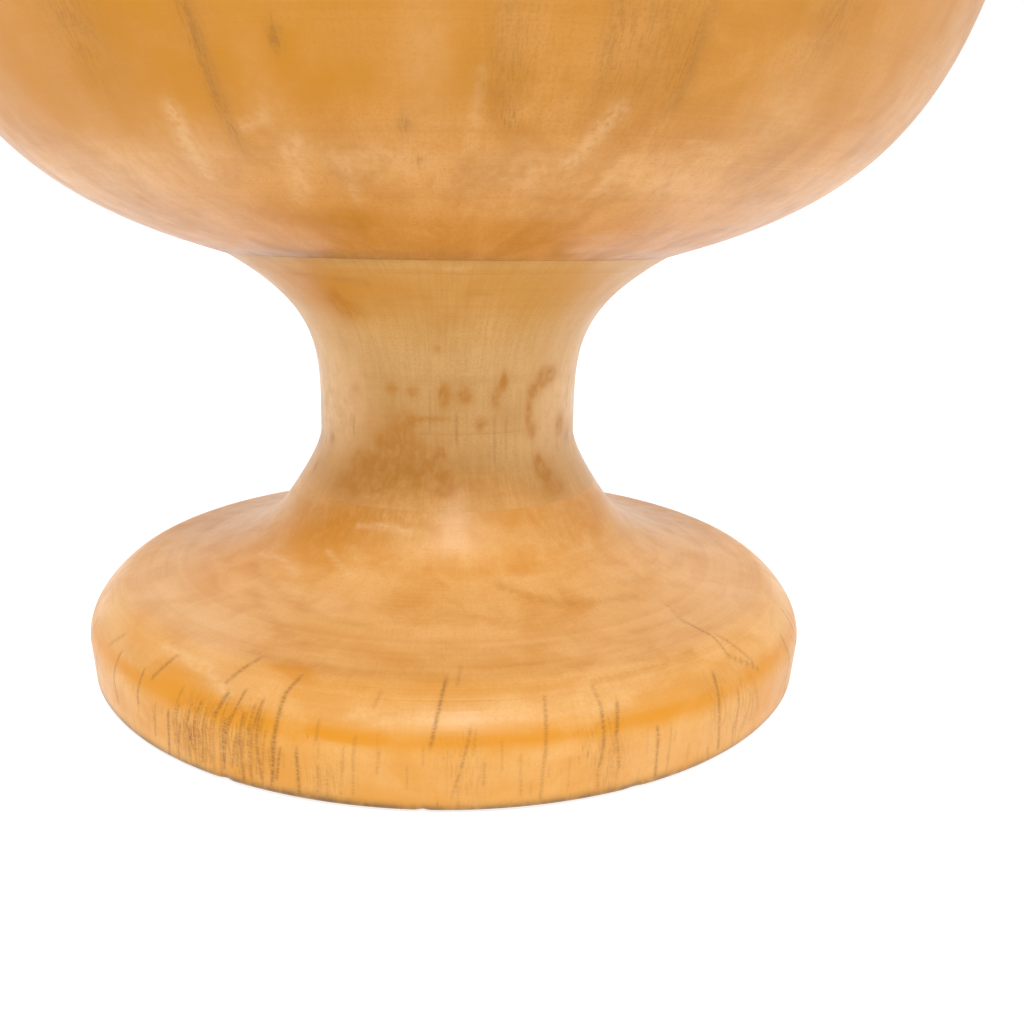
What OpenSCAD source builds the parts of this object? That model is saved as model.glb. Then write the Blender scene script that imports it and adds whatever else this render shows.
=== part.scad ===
// Turned wooden communion chalice with a gilt liner cup, held together by a central tie rod.
// The origin is the centre of the underside, and +Z points up the turning axis.

/* [Foot] */
// Widest diameter of the foot
foot_d = 84; // [81:1:90]
// Diameter of the foot at its bottom edge
foot_bottom_d = 83.4; // [80:0.1:84]
// Height at which the upright side of the foot starts to round over
foot_side_z = 5.0; // [4.5:0.1:6]
// Width of the rounded shoulder of the foot
shoulder_w = 4.5; // [3:0.1:5]
// Height of the rounded shoulder of the foot
shoulder_h = 5.7; // [5:0.1:6.5]
// Slope of the foot top where the shoulder ends
shoulder_slope = 7; // [5:0.5:12]
// Diameter at the knee, where the foot's dome turns steeply up into the stem
knee_d = 39.4; // [38:0.1:41]
// Height of the knee
knee_z = 17.54; // [17:0.02:18]
// Slope of the surface at the knee
knee_slope = 54; // [48:1:58]

/* [Stem] */
// Smallest diameter of the stem
waist_d = 30; // [28:0.2:33]
// Height of the smallest diameter
waist_z = 26.5; // [26:0.1:28]
// Diameter of the flared top of the stem, where it meets the bowl
neck_d = 49.6; // [48:0.2:52]
// Height of the line where stem and bowl meet
neck_z = 46.4; // [45.8:0.1:47]
// Slope of the flare just under that line
flare_slope = 30.5; // [26:0.5:36]

/* [Bowl] */
// Widest diameter of the bowl
bowl_d = 110; // [109:1:114]
// Height of the widest diameter
belly_z = 91; // [89:1:95]
// Slope of the underside of the bowl where it leaves the stem
underside_slope = 16; // [10:1:20]
// Outer diameter of the bowl just under its rim
rim_d = 108; // [107:0.2:109]
// Height of the wooden rim
rim_z = 121; // [118:0.2:126]
// Radius of the rounded outer edge of the wooden rim
rim_round = 1.2; // [0.8:0.1:1.5]

/* [Liner cup] */
// Thickness of the liner metal
liner_t = 0.8; // [0.6:0.1:1]
// Inner radius of the liner at its widest
liner_r = 50.4; // [49:0.2:50.6]
// Inner radius of the liner at its rim
liner_rim_r = 49.6; // [48.4:0.2:50]
// Height of the widest radius of the liner
liner_belly_z = 92; // [90:1:96]
// Height of the liner's inner floor
liner_floor_z = 65.2; // [65:0.1:67]
// Radius of the flat middle of the liner's floor
liner_flat_r = 9; // [8:0.5:12]
// Radius of the rolled bead on the liner's rim
bead_r = 1.2; // [1:0.1:1.5]
// Gap between the liner and the wood around it
liner_gap = 0.2; // [0.1:0.05:0.3]

/* [Joinery] */
// Diameter of the tenon on top of the stem
top_tenon_d = 24; // [20:1:28]
// Length of the tenon on top of the stem
top_tenon_h = 6; // [5:0.5:6]
// Diameter of the tenon under the stem
low_tenon_d = 20; // [16:1:24]
// Length of the tenon under the stem
low_tenon_h = 8; // [6:0.5:8]
// Glue gap around and beyond each tenon
glue_gap = 0.1; // [0.05:0.05:0.2]
// Diameter of the hole for the tie rod through the wood
rod_hole_d = 7; // [6.6:0.1:8]
// Diameter of the recess under the foot that holds washer and nut
recess_d = 26; // [24:1:28]
// Height of the top of that recess
recess_z = 9.6; // [9.4:0.1:10]

/* [Fasteners and pad] */
// Diameter of the tie rod
rod_d = 6; // [5:1:6]
// Height of the lower end of the tie rod
rod_low_z = 2.2; // [1.8:0.1:2.6]
// Diameter of the threaded boss under the liner
boss_d = 14; // [12:1:16]
// Height of the threaded boss
boss_h = 5.5; // [5:0.1:5.5]
// Diameter of the washer
washer_d = 20; // [16:1:22]
// Thickness of the washer
washer_t = 1.6; // [1.2:0.1:1.6]
// Diameter of the hole in the washer
washer_hole_d = 6.4; // [6.2:0.1:7]
// Width of the nut across its flats
nut_flats = 10; // [9:1:10]
// Height of the nut
nut_h = 5; // [4:0.5:5]
// Diameter of the leather pad
pad_d = 75.4; // [70:0.2:76]
// Thickness of the leather pad
pad_t = 1.3; // [1:0.1:1.5]
// How far the leather pad stands below the wood
pad_proud = 0.3; // [0.2:0.05:0.5]

/* [Hidden] */
$fn = 96;
wood = [0.86, 0.62, 0.33];
pale_wood = [0.87, 0.70, 0.46];
gilt = [0.83, 0.66, 0.30];
brass = [0.78, 0.62, 0.32];
leather = [0.25, 0.15, 0.09];

// Number of straight pieces that a curve is made of
steps = 20;
// The point of the cove where foot and stem are joined
joint_step = 26;
// How firmly each curve holds its direction at its two ends
shoulder_pull = [2.7, 1];
cove_low_pull = [11, 4];
cove_high_pull = [4, 2];
flare_pull = [8.8, 12.2];
underside_pull = [21.3, 30.8];
wall_pull = [12, 10];
rim_pull = [0.7, 0.7];
cup_wall_pull = [9, 9];
cup_floor_pull = [22, 32];
// Direction of the bowl's wall at the rim, a little past upright
rim_lean = 94;

// Broken edge under the foot, and the two that leave a fine line at the neck
bottom_break = 0.4;
neck_break = 0.12;
// Gap between the rod and a threaded hole
thread_gap = 0.05;
// From the upper end of the rod to the end of its hole, and from there to the liner
rod_tip_gap = 1;
// Gap around the pad in its recess
pad_gap = 0.3;
// How far a cutter runs past the face that it opens
over = 0.01;

boss_top_z = liner_floor_z - liner_t;
boss_z = boss_top_z - boss_h;
socket_top_z = neck_z + top_tenon_h + glue_gap;
washer_z = recess_z - washer_t;
nut_z = washer_z - nut_h;
bead_z = rim_z + bead_r + over;

// A vector from its direction and its length
function polar(angle, length) = length * [cos(angle), sin(angle)];

// A smooth curve that leaves p in direction a and reaches q in direction b
function curve(p, a, q, b, pull) =
    let (after_p = p + polar(a, pull[0]), before_q = q - polar(b, pull[1]))
    [for (i = [0:steps]) let (t = i / steps, s = 1 - t)
        s^3 * p + 3 * s^2 * t * after_p + 3 * s * t^2 * before_q + t^3 * q];

function reversed(list) = [for (i = [len(list) - 1:-1:0]) list[i]];

// The sweep from the foot's shoulder up to the waist of the stem
side = [foot_d / 2, foot_side_z];
shoulder = side + [-shoulder_w, shoulder_h];
knee = [knee_d / 2, knee_z];
waist = [waist_d / 2, waist_z];
cove = concat(
    curve(shoulder, 180 - shoulder_slope, knee, 180 - knee_slope, cove_low_pull),
    [for (i = [1:steps]) curve(knee, 180 - knee_slope, waist, 90, cove_high_pull)[i]]);
joint_z = cove[joint_step][1];

// Outside of the foot, from its bottom edge up to the joint with the stem
function foot_outline() =
    let (edge = [foot_bottom_d / 2, pad_proud])
    concat(
        [edge - [bottom_break, 0], edge + [0, bottom_break]],
        curve(side, 90, shoulder, 180 - shoulder_slope, shoulder_pull),
        [for (i = [1:joint_step]) cove[i]]);

// Outside of the stem, from the joint with the foot up to the neck
function stem_outline() =
    concat(
        [for (i = [joint_step:len(cove) - 2]) cove[i]],
        curve(waist, 90, [neck_d / 2, neck_z - neck_break], flare_slope, flare_pull),
        [[neck_d / 2 - 2 * neck_break, neck_z]]);

// Outside of the bowl, from the neck up over the rim
function bowl_outline() =
    let (neck = [neck_d / 2, neck_z + neck_break],
         belly = [bowl_d / 2, belly_z],
         rim = [rim_d / 2, rim_z - rim_round])
    concat(
        [[neck_d / 2 - 2 * neck_break, neck_z]],
        curve(neck, underside_slope, belly, 90, underside_pull),
        curve(belly, 90, rim, rim_lean, wall_pull),
        curve(rim, rim_lean, rim + [-rim_round, rim_round], 180, rim_pull));

// The liner's inner surface moved outwards by a distance, from the height top_z down to its floor
function cup_outline(out, top_z) =
    let (top = [liner_rim_r + out, top_z],
         belly = [liner_r + out, liner_belly_z],
         floor_z = liner_floor_z - min(out, liner_t))
    concat(
        curve(top, 270, belly, 270, cup_wall_pull),
        curve(belly, 270, [liner_flat_r, floor_z], 180, cup_floor_pull),
        [[0, floor_z]]);

module lathe(outline) {
    rotate_extrude() polygon(outline);
}

module rod(d, low_z, high_z) {
    translate([0, 0, low_z]) cylinder(d = d, h = high_z - low_z);
}

// Spun cup with a rolled bead that rests on the wooden rim
module liner_cup() {
    color(gilt) {
        lathe(concat(cup_outline(0, bead_z), reversed(cup_outline(liner_t, bead_z))));
        rotate_extrude() translate([liner_rim_r + bead_r, bead_z]) circle(r = bead_r);
    }
}

// Boss brazed under the liner, with a blind threaded hole
module cup_boss() {
    color(brass) difference() {
        rod(boss_d, boss_z, boss_top_z);
        rod(rod_d + 2 * thread_gap, boss_z - over, boss_top_z - rod_tip_gap);
    }
}

module bowl() {
    color(wood) difference() {
        lathe(concat([[0, neck_z]], bowl_outline(), cup_outline(liner_t + liner_gap, rim_z)));
        rod(top_tenon_d + 2 * glue_gap, neck_z - over, socket_top_z);
        rod(rod_hole_d, socket_top_z - over, boss_z + over);
        rod(boss_d + 2 * glue_gap, boss_z, boss_top_z + over);
    }
}

// Waisted stem with a tenon at each end, bored for the tie rod
module stem() {
    color(pale_wood) difference() {
        union() {
            lathe(concat([[0, joint_z]], stem_outline(), [[0, neck_z]]));
            rod(top_tenon_d, neck_z - over, neck_z + top_tenon_h);
            rod(low_tenon_d, joint_z - low_tenon_h, joint_z + over);
        }
        rod(rod_hole_d, joint_z - low_tenon_h - over, neck_z + top_tenon_h + over);
    }
}

// Foot with a mortise on top, and under it the recesses for the nut and the pad
module foot() {
    mortise_z = joint_z - low_tenon_h - glue_gap;
    color(wood) difference() {
        lathe(concat([[0, pad_proud]], foot_outline(), [[0, joint_z]]));
        rod(low_tenon_d + 2 * glue_gap, mortise_z, joint_z + over);
        rod(rod_hole_d, recess_z - over, mortise_z + over);
        rod(recess_d, pad_t - over, recess_z);
        rod(pad_d + 2 * pad_gap, pad_proud - over, pad_t);
    }
}

module tie_rod() {
    color(brass) rod(rod_d, rod_low_z, boss_top_z - 2 * rod_tip_gap);
}

module washer() {
    color(brass) difference() {
        rod(washer_d, washer_z, recess_z);
        rod(washer_hole_d, washer_z - over, recess_z + over);
    }
}

module nut() {
    color(brass) difference() {
        translate([0, 0, nut_z]) cylinder(d = nut_flats / cos(30), h = nut_h, $fn = 6);
        rod(rod_d + 2 * thread_gap, nut_z - over, washer_z + over);
    }
}

module base_pad() {
    color(leather) rod(pad_d, 0, pad_t);
}

liner_cup();
cup_boss();
bowl();
stem();
foot();
tie_rod();
washer();
nut();
base_pad();
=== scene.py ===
"""The looks of the turned wooden chalice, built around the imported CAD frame.

Lengths named here are in millimetres and become metres when a mesh is made.
Azimuth is in degrees: 0 faces the camera (-Y) and 90 faces +X.
"""
import math

import bpy
import numpy as np
from mathutils import Matrix


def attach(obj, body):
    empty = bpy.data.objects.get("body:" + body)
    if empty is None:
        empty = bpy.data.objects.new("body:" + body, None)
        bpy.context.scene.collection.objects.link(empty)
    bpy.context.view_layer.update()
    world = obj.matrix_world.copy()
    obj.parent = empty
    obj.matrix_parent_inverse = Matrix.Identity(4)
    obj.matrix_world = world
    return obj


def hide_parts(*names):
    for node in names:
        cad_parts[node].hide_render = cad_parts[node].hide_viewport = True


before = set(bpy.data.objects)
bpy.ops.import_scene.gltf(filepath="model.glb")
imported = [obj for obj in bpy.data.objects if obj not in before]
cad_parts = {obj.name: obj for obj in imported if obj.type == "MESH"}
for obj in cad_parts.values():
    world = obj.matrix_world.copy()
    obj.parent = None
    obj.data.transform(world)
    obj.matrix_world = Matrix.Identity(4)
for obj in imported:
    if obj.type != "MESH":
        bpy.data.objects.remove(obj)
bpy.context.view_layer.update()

MM = 0.001
FULL_TURN = 2 * math.pi

# ---------------------------------------------------------------- dimensions, as in the CAD model
FOOT_R = 42.0
FOOT_BOTTOM_R = 41.7
FOOT_SIDE_Z = 5.0
SHOULDER = np.array([37.5, 10.7])
SHOULDER_SLOPE = 7
KNEE = np.array([19.7, 17.54])
KNEE_SLOPE = 54
WAIST = np.array([15.0, 26.5])
NECK_R = 24.8
NECK_Z = 46.4
FLARE_SLOPE = 30.5
BELLY = np.array([55.0, 91.0])
UNDERSIDE_SLOPE = 16
RIM_R = 54.0
RIM_Z = 121.0
RIM_ROUND = 1.2
RIM_LEAN = 94
LINER_T = 0.8
LINER_GAP = 0.2
LINER_R = 50.4
LINER_RIM_R = 49.6
LINER_BELLY_Z = 92.0
LINER_FLOOR_Z = 65.2
LINER_FLAT_R = 9.0
BEAD_R = 1.2
BEAD_Z = RIM_Z + BEAD_R + 0.01
TOP_TENON_R = 12.0
TOP_TENON_H = 6.0
LOW_TENON_R = 10.0
LOW_TENON_H = 8.0
GLUE_GAP = 0.1
ROD_HOLE_R = 3.5
RECESS_R = 13.0
RECESS_Z = 9.6
ROD_R = 3.0
ROD_LOW_Z = 2.2
BOSS_R = 7.0
BOSS_TOP_Z = LINER_FLOOR_Z - LINER_T
BOSS_Z = BOSS_TOP_Z - 5.5
WASHER_R = 10.0
WASHER_HOLE_R = 3.2
WASHER_Z = 8.0
NUT_FLATS = 10.0
NUT_Z = 3.0
THREAD_PITCH = 1.0
THREAD_DEPTH = 0.6
THREAD_GAP = 0.05
PAD_R = 37.7
PAD_T = 1.3
PAD_GAP = 0.3
PAD_PROUD = 0.3
BOTTOM_BREAK = 0.4
JOINT_SHARE = 0.3
JOINT_LIP = 0.1
TENON_BREAK = 0.5
EDGE_BREAK = 0.2
PLAIN_LOW_Z = 18.3
PLAIN_TOP_Z = 48.7
ROD_CHAMFER = 0.7

# ---------------------------------------------------------------- mesh detail
SHARP_ANGLE = 40
FOOT_SEGMENTS = 900
STEM_SEGMENTS = 512
BOWL_SEGMENTS = 480
LINER_SEGMENTS = 384
PAD_SEGMENTS = 256
NUT_SEGMENTS = 96
WASHER_SEGMENTS = 96
ROD_SEGMENTS = 64
THREAD_STEP = 0.125
WOBBLE = 0.05
FRONT_REACH = 80
FRONT_FADE = 20
SKIN_REACH = 0.4
SEED = 7

# ---------------------------------------------------------------- wood colours
# Light, middle, dark and warmest colour of each piece; the warmest also stands for painted shade
FOOT_COLOURS = ((0.78, 0.46, 0.175, 1), (0.72, 0.40, 0.125, 1),
                (0.62, 0.275, 0.055, 1), (0.66, 0.26, 0.010, 1))
STEM_COLOURS = ((0.67, 0.41, 0.155, 1), (0.61, 0.355, 0.115, 1),
                (0.48, 0.24, 0.050, 1), (0.58, 0.26, 0.035, 1))
BOWL_COLOURS = ((0.69, 0.335, 0.094, 1), (0.59, 0.265, 0.055, 1),
                (0.41, 0.152, 0.012, 1), (0.54, 0.21, 0.003, 1))
# The stem's lower end, and the marks
STEM_HEM = (0.74, 0.40, 0.13, 1)
# Pale wood, and painted sheen at the stem's sides
PALE_AND_SHEEN = (0.80, 0.52, 0.26, 1)
# Stains, and painted shade on the foot's top and cove and on the stem
STAIN_AND_SHADE = (0.47, 0.19, 0.014, 1)
# Pale scuffs, and a painted highlight on the foot's shoulder
SCUFF_AND_HIGHLIGHT = (0.86, 0.60, 0.33, 1)
PORE = (0.17, 0.066, 0.009, 1)
# Grey-brown grime, and painted shade: a contact shadow along the foot's bottom edge and shade in the
# crease at the neck
GRIME_AND_SHADE = (0.16, 0.085, 0.026, 1)


# ---------------------------------------------------------------- outlines
def polar(angle, length):
    """A vector from its direction in degrees and its length."""
    return length * np.array([math.cos(math.radians(angle)), math.sin(math.radians(angle))])


def curve(p, a, q, b, pull, first=0.0, last=1.0, steps=40):
    """A smooth curve that leaves p in direction a and reaches q in direction b, or a share of it."""
    p = np.asarray(p, float)
    q = np.asarray(q, float)
    t = np.linspace(first, last, steps + 1)[:, None]
    s = 1 - t
    after_p = p + polar(a, pull[0])
    before_q = q - polar(b, pull[1])
    return s ** 3 * p + 3 * s ** 2 * t * after_p + 3 * s * t ** 2 * before_q + t ** 3 * q


def join(*parts):
    """One outline from points and curves, without doubled points."""
    points = np.vstack([np.atleast_2d(np.asarray(part, float)) for part in parts])
    step = np.hypot(*np.diff(points, axis=0).T)
    return points[np.concatenate([[True], step > 1e-6])]


def finer(outline, spacing):
    """The outline with its long straight pieces cut into shorter ones."""
    result = [outline[0]]
    for start, end in zip(outline[:-1], outline[1:]):
        count = max(1, int(math.ceil(math.hypot(*(end - start)) / spacing)))
        for i in range(1, count + 1):
            result.append(start + (end - start) * i / count)
    return np.array(result)


def cove(first, last, steps):
    """The sweep from the knee of the foot up to the waist of the stem."""
    return curve(KNEE, 180 - KNEE_SLOPE, WAIST, 90, (4, 2), first, last, steps)


def cup_side(out, top_z, steps):
    """The liner's inner surface moved outwards, from top_z down to its flat floor."""
    floor_z = LINER_FLOOR_Z - min(out, LINER_T)
    belly = [LINER_R + out, LINER_BELLY_Z]
    return join(
        curve([LINER_RIM_R + out, top_z], 270, belly, 270, (9, 9), steps=steps),
        curve(belly, 270, [LINER_FLAT_R, floor_z], 180, (22, 32), steps=2 * steps))


JOINT = cove(JOINT_SHARE, JOINT_SHARE, 0)[0]
SOCKET_TOP_Z = NECK_Z + TOP_TENON_H + GLUE_GAP

foot_skin = join(
    [FOOT_BOTTOM_R - BOTTOM_BREAK, PAD_PROUD],
    [FOOT_BOTTOM_R - 0.16, PAD_PROUD + 0.1],
    [FOOT_BOTTOM_R, PAD_PROUD + BOTTOM_BREAK],
    finer(np.array([[FOOT_BOTTOM_R, PAD_PROUD + BOTTOM_BREAK], [FOOT_R, FOOT_SIDE_Z]]), 0.35),
    curve([FOOT_R, FOOT_SIDE_Z], 90, SHOULDER, 180 - SHOULDER_SLOPE, (2.7, 1), steps=18),
    curve(SHOULDER, 180 - SHOULDER_SLOPE, KNEE, 180 - KNEE_SLOPE, (11, 4), steps=30),
    cove(0.0, JOINT_SHARE, 8))
stem_skin = join(
    cove(JOINT_SHARE, 1.0, 22),
    curve(WAIST, 90, [NECK_R, NECK_Z], FLARE_SLOPE, (8.8, 12.2), steps=44))
bowl_skin = join(
    curve([NECK_R, NECK_Z], UNDERSIDE_SLOPE, BELLY, 90, (21.3, 30.8), steps=76),
    curve(BELLY, 90, [RIM_R, RIM_Z - RIM_ROUND], RIM_LEAN, (12, 10), steps=40),
    curve([RIM_R, RIM_Z - RIM_ROUND], RIM_LEAN,
          [RIM_R - RIM_ROUND, RIM_Z], 180, (0.7, 0.7), steps=6))


# ---------------------------------------------------------------- meshes
def make_piece(name, points, faces):
    """A smooth-shaded object from points in millimetres."""
    mesh = bpy.data.meshes.new(name)
    mesh.from_pydata((points * MM).tolist(), [], faces)
    mesh.shade_smooth()
    mesh.set_sharp_from_angle(angle=math.radians(SHARP_ANGLE))
    piece = bpy.data.objects.new(name, mesh)
    bpy.context.scene.collection.objects.link(piece)
    return piece


def ring_faces(rows, segments, closed):
    """Four-sided faces between rows of points round the axis."""
    faces = []
    last = rows if closed else rows - 1
    for row in range(last):
        low = row * segments
        high = (row + 1) % rows * segments
        for i in range(segments):
            j = (i + 1) % segments
            faces.append((low + i, low + j, high + j, high + i))
    return faces


def seams(segments, front):
    """Angles round the axis. Towards the camera they lie closer together, front times."""
    angle = np.radians(np.arange(-180, 180.01, 0.1))
    near_front = (FRONT_REACH - np.abs(np.degrees(angle))) / FRONT_FADE
    crowd = 1 + (front - 1) * np.clip(near_front, 0, 1)
    total = np.concatenate([[0], np.cumsum(crowd[1:])])
    return np.interp(np.arange(segments) / segments, total / total[-1], angle)


def round_grid(radius, height, angle):
    """Points from a table of radii and a table of heights, one row per outline point."""
    x = radius * np.sin(angle)
    y = -radius * np.cos(angle)
    z = height * np.ones(len(angle))
    return np.stack([x, y, z], axis=-1).reshape(-1, 3)


def turned(name, outline, segments, wobble=0.0, front=1.0):
    """A turned piece from a closed outline, or from one that starts and ends on the axis."""
    on_axis = outline[0][0] == 0
    body = outline[1:-1] if on_axis else outline
    angle = seams(segments, front)
    oval = wobble * (np.cos(2 * angle + 0.7) + 0.3 * np.cos(5 * angle) + 0.15 * np.cos(11 * angle))
    share = np.clip((body[:, :1] - 12) / 25, 0, 1)
    points = round_grid(body[:, :1] + share * oval, body[:, 1:], angle)
    faces = ring_faces(len(body), segments, not on_axis)
    if on_axis:
        first = len(points)
        points = np.vstack([points, [0, 0, outline[0][1]], [0, 0, outline[-1][1]]])
        top_row = (len(body) - 1) * segments
        for i in range(segments):
            j = (i + 1) % segments
            faces.append((first, j, i))
            faces.append((first + 1, top_row + i, top_row + j))
    return make_piece(name, points, faces)


def points_of(piece):
    """The piece's points in millimetres."""
    points = np.zeros(len(piece.data.vertices) * 3, np.float32)
    piece.data.vertices.foreach_get("co", points)
    return points.reshape(-1, 3).astype(float) / MM


def move_points(piece, points):
    piece.data.vertices.foreach_set("co", (points * MM).astype(np.float32).ravel())
    piece.data.update()


def paint(piece, name, values):
    """Stores one number per point, which a material reads by name."""
    attribute = piece.data.attributes.new(name, "FLOAT", "POINT")
    attribute.data.foreach_set("value", np.clip(values, 0, 1).astype(np.float32))


# ---------------------------------------------------------------- marks on the wood
class Skin:
    """Where each point of a piece lies on its turned skin: azimuth, way along the outline, radius."""

    def __init__(self, piece, outline):
        points = points_of(piece)
        self.azimuth = np.degrees(np.arctan2(points[:, 0], -points[:, 1]))
        self.radius = np.hypot(points[:, 0], points[:, 1])
        self.height = points[:, 2]
        steps = np.hypot(*np.diff(outline, axis=0).T)
        along = np.concatenate([[0], np.cumsum(steps)])
        gap = ((self.radius[:, None] - outline[:, 0]) ** 2
               + (self.height[:, None] - outline[:, 1]) ** 2)
        nearest = gap.argmin(axis=1)
        self.way = along[nearest]
        self.outside = gap[np.arange(len(nearest)), nearest] < SKIN_REACH ** 2
        self.length = along[-1]

    def stroke(self, start, end, width):
        """How close each point is to the line between two (azimuth, way) places."""
        turn = (self.azimuth - start[0] + 180) % 360 - 180
        across = np.radians(turn) * self.radius
        up = self.way - start[1]
        line = np.array([np.radians(end[0] - start[0]), end[1] - start[1]])
        line_x = line[0] * self.radius
        length = np.maximum(line_x ** 2 + line[1] ** 2, 1e-9)
        share = np.clip((across * line_x + up * line[1]) / length, 0, 1)
        gap = np.hypot(across - share * line_x, up - share * line[1])
        return np.exp(-(gap / width) ** 2) * self.outside

    def patch(self, azimuth, way, wide, tall):
        """A soft oval patch, its half sizes in millimetres."""
        turn = (self.azimuth - azimuth + 180) % 360 - 180
        across = np.radians(turn) * self.radius / wide
        up = (self.way - way) / tall
        return np.exp(-(across ** 2 + up ** 2)) * self.outside

    def strokes(self, marks):
        """The strongest of several strokes: azimuth and way of both ends, width, strength."""
        total = np.zeros(len(self.way))
        for azimuth_a, way_a, azimuth_b, way_b, width, strength in marks:
            mark = strength * self.stroke((azimuth_a, way_a), (azimuth_b, way_b), width)
            total = np.maximum(total, mark)
        return total

    def patches(self, marks):
        """Several patches added up: azimuth, way, half width, half height, strength."""
        total = np.zeros(len(self.way))
        for azimuth, way, wide, tall, strength in marks:
            total = total + strength * self.patch(azimuth, way, wide, tall)
        return total


# ---------------------------------------------------------------- material nodes
class Nodes:
    """Short calls that add the nodes of one material."""

    def __init__(self, name):
        self.material = bpy.data.materials.new(name)
        self.material.use_nodes = True
        self.tree = self.material.node_tree
        self.shader = self.tree.nodes["Principled BSDF"]
        place = self.add("ShaderNodeTexCoord")
        scaled = self.add("ShaderNodeVectorMath", operation="SCALE")
        self.feed(scaled.inputs[0], place.outputs["Object"])
        scaled.inputs["Scale"].default_value = 1 / MM
        self.place = scaled.outputs[0]
        split = self.add("ShaderNodeSeparateXYZ")
        self.feed(split.inputs[0], self.place)
        self.x = split.outputs[0]
        self.y = split.outputs[1]
        self.z = split.outputs[2]
        flat = self.vector(self.x, self.y, 0.0)
        length = self.add("ShaderNodeVectorMath", operation="LENGTH")
        self.feed(length.inputs[0], flat)
        self.radius = length.outputs["Value"]

    def add(self, kind, **settings):
        node = self.tree.nodes.new(kind)
        for key, value in settings.items():
            setattr(node, key, value)
        return node

    def feed(self, socket, value):
        """Links a socket, or sets it to a number or a colour."""
        if isinstance(value, bpy.types.NodeSocket):
            self.tree.links.new(value, socket)
        else:
            socket.default_value = value

    def vector(self, x, y, z):
        node = self.add("ShaderNodeCombineXYZ")
        for socket, value in zip(node.inputs, (x, y, z)):
            self.feed(socket, value)
        return node.outputs[0]

    def math(self, operation, a, b=0.0, clamp=False):
        node = self.add("ShaderNodeMath", operation=operation, use_clamp=clamp)
        self.feed(node.inputs[0], a)
        self.feed(node.inputs[1], b)
        return node.outputs[0]

    def times(self, a, b):
        return self.math("MULTIPLY", a, b)

    def plus(self, a, b):
        return self.math("ADD", a, b)

    def noise(self, vector, scale=1.0, detail=2.0, roughness=0.5, warp=0.0):
        node = self.add("ShaderNodeTexNoise")
        self.feed(node.inputs["Vector"], vector)
        node.inputs["Scale"].default_value = scale
        node.inputs["Detail"].default_value = detail
        node.inputs["Roughness"].default_value = roughness
        node.inputs["Distortion"].default_value = warp
        return node.outputs[0]

    def step(self, value, low, high, to_low=0.0, to_high=1.0):
        """A smooth step from to_low to to_high as value goes from low to high."""
        node = self.add("ShaderNodeMapRange", interpolation_type="SMOOTHSTEP")
        self.feed(node.inputs["Value"], value)
        node.inputs["From Min"].default_value = low
        node.inputs["From Max"].default_value = high
        node.inputs["To Min"].default_value = to_low
        node.inputs["To Max"].default_value = to_high
        return node.outputs[0]

    def painted(self, name):
        node = self.add("ShaderNodeAttribute", attribute_name=name)
        return node.outputs["Fac"]

    def mix(self, share, a, b, way="MIX"):
        node = self.add("ShaderNodeMix", data_type="RGBA", blend_type=way)
        self.feed(node.inputs[0], share)
        self.feed(node.inputs[6], a)
        self.feed(node.inputs[7], b)
        return node.outputs[2]

    def bump(self, height, depth, under=None):
        """Height runs from 0 to 1, and depth is what 1 means in millimetres."""
        node = self.add("ShaderNodeBump")
        node.inputs["Strength"].default_value = 1.0
        node.inputs["Distance"].default_value = depth * MM
        self.feed(node.inputs["Height"], height)
        if under is not None:
            self.feed(node.inputs["Normal"], under)
        return node.outputs[0]

    def around(self, radius, along, stretch):
        """Coordinates for marks that run along the outline: radial on top, upright on a side."""
        scale = self.math("DIVIDE", radius, self.radius)
        return self.vector(self.times(self.x, scale), self.times(self.y, scale),
                           self.times(along, stretch))


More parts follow.
